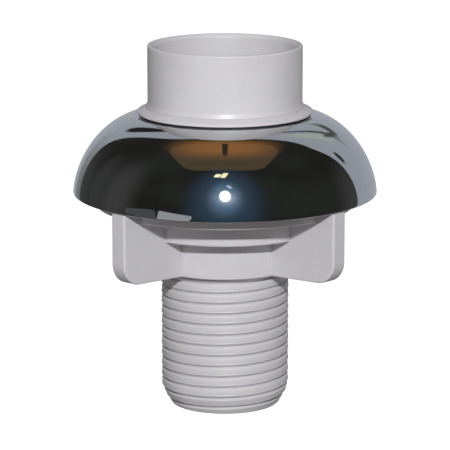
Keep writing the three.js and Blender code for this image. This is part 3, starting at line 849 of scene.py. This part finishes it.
def build_world(scene):
    """Plain white surroundings, soft even light, and a dark studio with panels that shows in the gloss only."""
    world = bpy.data.worlds.new("studio")
    scene.world = world
    world.use_nodes = True
    tree = world.node_tree
    tree.nodes.clear()
    stage = scene.fitting_stage
    soft = add_node(tree, "Background", Color=(1.0, 0.972, 0.955, 1), Strength=stage.ambient)
    gloss = add_node(tree, "Background", Color=glossy_surroundings(tree), Strength=1.0)
    plain = add_node(tree, "Background", Color=(1, 1, 1, 1), Strength=1.0)
    path = tree.nodes.new("ShaderNodeLightPath").outputs
    first = add_node(tree, "MixShader", _0=path["Is Glossy Ray"], _1=soft.outputs[0], _2=gloss.outputs[0])
    second = add_node(tree, "MixShader", _0=path["Is Camera Ray"], _1=first.outputs[0], _2=plain.outputs[0])
    output = tree.nodes.new("ShaderNodeOutputWorld")
    tree.links.new(second.outputs[0], output.inputs[0])


def build_floor(scene):
    """A wide pale floor that glows nearly white, so that no shadow shows on it."""
    side = FLOOR_CELLS + 1
    share = np.linspace(-1, 1, side)
    x, y = np.meshgrid(share * FLOOR_REACH, share * FLOOR_REACH)
    points = np.stack([x, y, np.full_like(x, -FLOOR_SINK)], -1).reshape(-1, 3)
    row, column = np.arange(FLOOR_CELLS)[:, None], np.arange(FLOOR_CELLS)[None]
    low = row * side + column
    quads = np.stack([low, low + 1, low + side + 1, low + side], -1).reshape(-1, 4)
    mesh = bpy.data.meshes.new("floor")
    mesh.from_pydata(points.tolist(), [], quads.tolist())
    material, tree, shader, where = new_finish("pale_floor")
    grain = noise(tree, where, 6.0, 3.0)
    tree.links.new(blend(tree, grain, (0.86, 0.86, 0.87, 1), (0.90, 0.90, 0.90, 1)), shader.inputs["Base Color"])
    tree.links.new(maths(tree, "MULTIPLY_ADD", grain, 0.1, 0.85), shader.inputs["Roughness"])
    shader.inputs["Specular IOR Level"].default_value = 0.0
    shader.inputs["Emission Color"].default_value = (1, 1, 1, 1)
    shader.inputs["Emission Strength"].default_value = 0.95
    mesh.materials.append(material)
    floor = bpy.data.objects.new("floor", mesh)
    scene.collection.objects.link(floor)
    floor.visible_glossy = False
    floor.visible_diffuse = False


def aim(thing, place, target):
    """Puts a lamp or camera at a place, looking at a target."""
    thing.location = place
    direction = np.array(target) - np.array(place)
    flat = np.hypot(direction[0], direction[1])
    thing.rotation_euler = (np.pi / 2 + np.arctan2(direction[2], flat), 0, np.arctan2(-direction[0], direction[1]))


def build_lights(scene):
    """One small key light in front and above."""
    stage = scene.fitting_stage
    lamp = bpy.data.lights.new("key_light", "AREA")
    lamp.shape = "DISK"
    lamp.size = LAMP_SIZE
    lamp.energy = stage.key_power
    lamp.color = (0.985, 0.99, 1.0)
    key = bpy.data.objects.new("key_light", lamp)
    scene.collection.objects.link(key)
    target = np.array([0.0, -DOME_HIGH.x, DOME_LOW.z])
    direction = np.array([LAMP_SIDEWAYS, -np.cos(stage.key_height), np.sin(stage.key_height)])
    aim(key, target + LAMP_DISTANCE * direction, target)


def build_camera(scene):
    """A long lens in front, a little above the fitting."""
    lens = bpy.data.cameras.new("camera")
    lens.lens = LENS_LENGTH
    lens.sensor_width = SENSOR_WIDTH
    lens.clip_start = 0.05
    camera = bpy.data.objects.new("camera", lens)
    scene.collection.objects.link(camera)
    camera.location = CAMERA_PLACE
    camera.rotation_euler = (np.pi / 2 - CAMERA_PITCH, 0, 0)
    scene.camera = camera


# ---- operators ----


class FITTING_OT_tail(Operator):
    """Build the threaded tail with its hull flange and cup"""

    bl_idname = "fitting.tail"
    bl_label = "Threaded tail"

    def execute(self, context):
        build_tail(context.scene)
        return {"FINISHED"}


class FITTING_OT_collar(Operator):
    """Build the slip socket with its flange and spigot"""

    bl_idname = "fitting.collar"
    bl_label = "Slip collar"

    def execute(self, context):
        build_collar(context.scene)
        return {"FINISHED"}


class FITTING_OT_dome(Operator):
    """Build the polished dome"""

    bl_idname = "fitting.dome"
    bl_label = "Chrome dome"

    def execute(self, context):
        build_dome(context.scene)
        return {"FINISHED"}


class FITTING_OT_nut(Operator):
    """Build the wing nut"""

    bl_idname = "fitting.nut"
    bl_label = "Wing nut"

    def execute(self, context):
        build_nut(context.scene)
        return {"FINISHED"}


class FITTING_OT_seals(Operator):
    """Build the O-ring, the neck seal, the hull gasket and the slip washer"""

    bl_idname = "fitting.seals"
    bl_label = "Seals and washer"

    def execute(self, context):
        build_seals(context.scene)
        return {"FINISHED"}


class FITTING_OT_stage(Operator):
    """Set up the floor, the light and the camera"""

    bl_idname = "fitting.stage"
    bl_label = "Stage"

    def execute(self, context):
        scene = context.scene
        scene.view_settings.view_transform = "Standard"
        build_world(scene)
        build_floor(scene)
        build_lights(scene)
        build_camera(scene)
        return {"FINISHED"}


OPERATORS = (FITTING_OT_stage, FITTING_OT_tail, FITTING_OT_collar, FITTING_OT_dome, FITTING_OT_nut, FITTING_OT_seals)


class FITTING_PT_sidebar(Panel):
    """The fitting's pieces and their sizes"""

    bl_idname = "FITTING_PT_sidebar"
    bl_label = "Thru Hull Fitting"
    bl_space_type = "VIEW_3D"
    bl_region_type = "UI"
    bl_category = "Fitting"

    def draw(self, context):
        layout = self.layout
        for operator in OPERATORS:
            layout.operator(operator.bl_idname)
        for name, group in SETTINGS:
            box = layout.box()
            box.label(text=group.__name__.replace("Settings", ""))
            for field in group.__annotations__:
                box.prop(getattr(context.scene, name), field)


SETTINGS = (
    ("fitting_tail", TailSettings),
    ("fitting_collar", CollarSettings),
    ("fitting_dome", DomeSettings),
    ("fitting_nut", NutSettings),
    ("fitting_finish", FinishSettings),
    ("fitting_stage", StageSettings),
)


def register():
    for name, group in SETTINGS:
        bpy.utils.register_class(group)
        setattr(bpy.types.Scene, name, PointerProperty(type=group))
    for operator in OPERATORS:
        bpy.utils.register_class(operator)
    bpy.utils.register_class(FITTING_PT_sidebar)


def unregister():
    bpy.utils.unregister_class(FITTING_PT_sidebar)
    for operator in reversed(OPERATORS):
        bpy.utils.unregister_class(operator)
    for name, group in reversed(SETTINGS):
        delattr(bpy.types.Scene, name)
        bpy.utils.unregister_class(group)


def main():
    """Registers the add-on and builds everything."""
    register()
    bpy.ops.fitting.stage()
    bpy.ops.fitting.tail()
    bpy.ops.fitting.collar()
    bpy.ops.fitting.dome()
    bpy.ops.fitting.nut()
    bpy.ops.fitting.seals()


if __name__ == "__main__":
    main()
